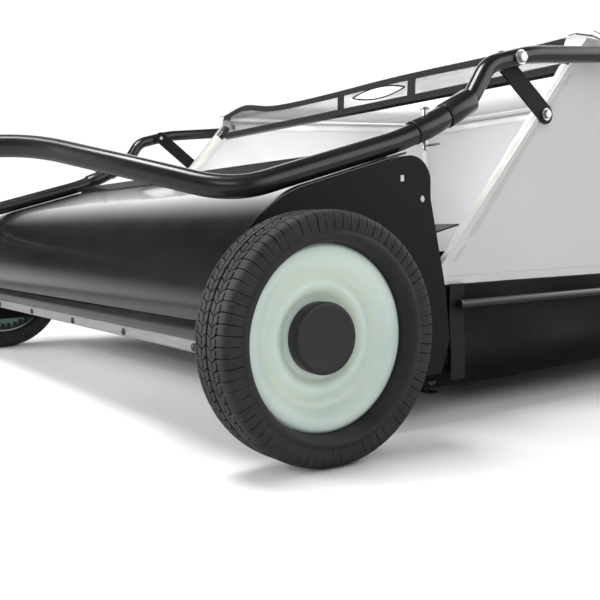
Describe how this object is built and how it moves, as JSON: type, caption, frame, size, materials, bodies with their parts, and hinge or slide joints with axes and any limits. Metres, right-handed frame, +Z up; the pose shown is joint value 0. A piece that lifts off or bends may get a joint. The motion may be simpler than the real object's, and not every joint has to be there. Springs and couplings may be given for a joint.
{
  "type": "lawn sweeper",
  "caption": "Tow-behind lawn sweeper: curved steel hood over a brush geared to the wheels, bent draw tubes meeting at a hitch, and a tipping fabric hopper.",
  "frame": {"origin": "on the ground, midway between the wheels and midway between the hitch and the back of the hopper", "axes": "+X along the wheel axle to the machine's left, +Y backwards to the hopper, +Z up"},
  "size_m": [1.24, 1.84, 0.5055],
  "materials": {
    "black_paint": "gloss black powder coat on sheet steel and tube",
    "zinc_steel": "zinc plated steel, dull",
    "tyre_rubber": "moulded black rubber, blocks and fine radial ribs",
    "mint_nylon": "pale mint nylon, slightly translucent",
    "black_plastic": "black moulded plastic, fine satin",
    "bristle": "black polypropylene bristle",
    "light_fabric": "light grey woven fabric, thin",
    "mesh_fabric": "black open mesh with folded hems",
    "vinyl": "black coated fabric, smooth"
  },
  "bodies": {
    "frame": {"side_plate_left": "black_paint", "side_plate_right": "black_paint", "hood": "black_paint", "front_bar": "black_paint", "front_strip": "zinc_steel", "rear_shelf": "black_paint", "brush_bearing_left": "black_plastic", "brush_bearing_right": "black_plastic", "wheel_axle_left": "zinc_steel", "wheel_axle_right": "zinc_steel", "axle_nut_left": "zinc_steel", "axle_nut_right": "zinc_steel", "draw_tube_left": "black_paint", "draw_tube_right": "black_paint", "tube_sleeve_left": "black_paint", "tube_sleeve_right": "black_paint", "hopper_arm_left": "black_paint", "hopper_arm_right": "black_paint", "arm_pin_left": "zinc_steel", "arm_pin_right": "zinc_steel", "hopper_hook_left": "zinc_steel", "hopper_hook_right": "zinc_steel", "pivot_bolt_left": "zinc_steel", "pivot_bolt_right": "zinc_steel", "hitch_bracket": "black_paint", "hitch_bolt_left": "zinc_steel", "hitch_bolt_right": "zinc_steel"},
    "wheel_left": {"tyre_left": "tyre_rubber", "wheel_disc_left": "mint_nylon", "ring_gear_left": "mint_nylon", "hub_cap_left": "black_plastic"},
    "wheel_right": {"tyre_right": "tyre_rubber", "wheel_disc_right": "mint_nylon", "ring_gear_right": "mint_nylon", "hub_cap_right": "black_plastic"},
    "brush": {"brush_shaft": "zinc_steel", "brush_core": "black_paint", "bristle_row_1": "bristle", "bristle_row_2": "bristle", "bristle_row_3": "bristle", "bristle_row_4": "bristle", "pinion_left": "black_plastic", "pinion_right": "black_plastic"},
    "hopper": {"hopper_floor": "vinyl", "hopper_bag": "light_fabric", "hopper_top": "mesh_fabric", "hopper_front_rod": "black_paint", "hopper_rear_rod": "black_paint", "hopper_sill_rod": "black_paint", "hopper_strut_left": "black_paint", "hopper_strut_right": "black_paint", "hopper_rail_left": "black_paint", "hopper_rail_right": "black_paint", "hopper_side_rod_left": "black_paint", "hopper_side_rod_right": "black_paint", "hanger_link_left": "zinc_steel", "hanger_link_right": "zinc_steel", "hanger_bolt_left": "zinc_steel", "hanger_bolt_right": "zinc_steel"},
    "hitch_pin": {"hitch_pin": "zinc_steel"}
  },
  "joints": [
    {"name": "wheel_left_spin", "type": "hinge", "parent": "frame", "child": "wheel_left", "pos_m": [0.585, -0.23, 0.127], "axis": [1, 0, 0], "continuous": true},
    {"name": "wheel_right_spin", "type": "hinge", "parent": "frame", "child": "wheel_right", "pos_m": [-0.585, -0.23, 0.127], "axis": [1, 0, 0], "continuous": true},
    {"name": "brush_spin", "type": "hinge", "parent": "frame", "child": "brush", "pos_m": [0, -0.17343, 0.147], "axis": [1, 0, 0], "continuous": true},
    {"name": "hopper_tip", "type": "hinge", "parent": "frame", "child": "hopper", "pos_m": [0, 0.115, 0.439], "axis": [1, 0, 0], "range_deg": [0, 75]},
    {"name": "hitch_pin_pull", "type": "slide", "parent": "frame", "child": "hitch_pin", "axis": [0, 0, 1], "range_m": [0, 0.06]}
  ],
  "couplings": [
    {"joint": "wheel_right_spin", "follows": "wheel_left_spin", "ratio": 1},
    {"joint": "brush_spin", "follows": "wheel_left_spin", "ratio": 4}
  ]
}
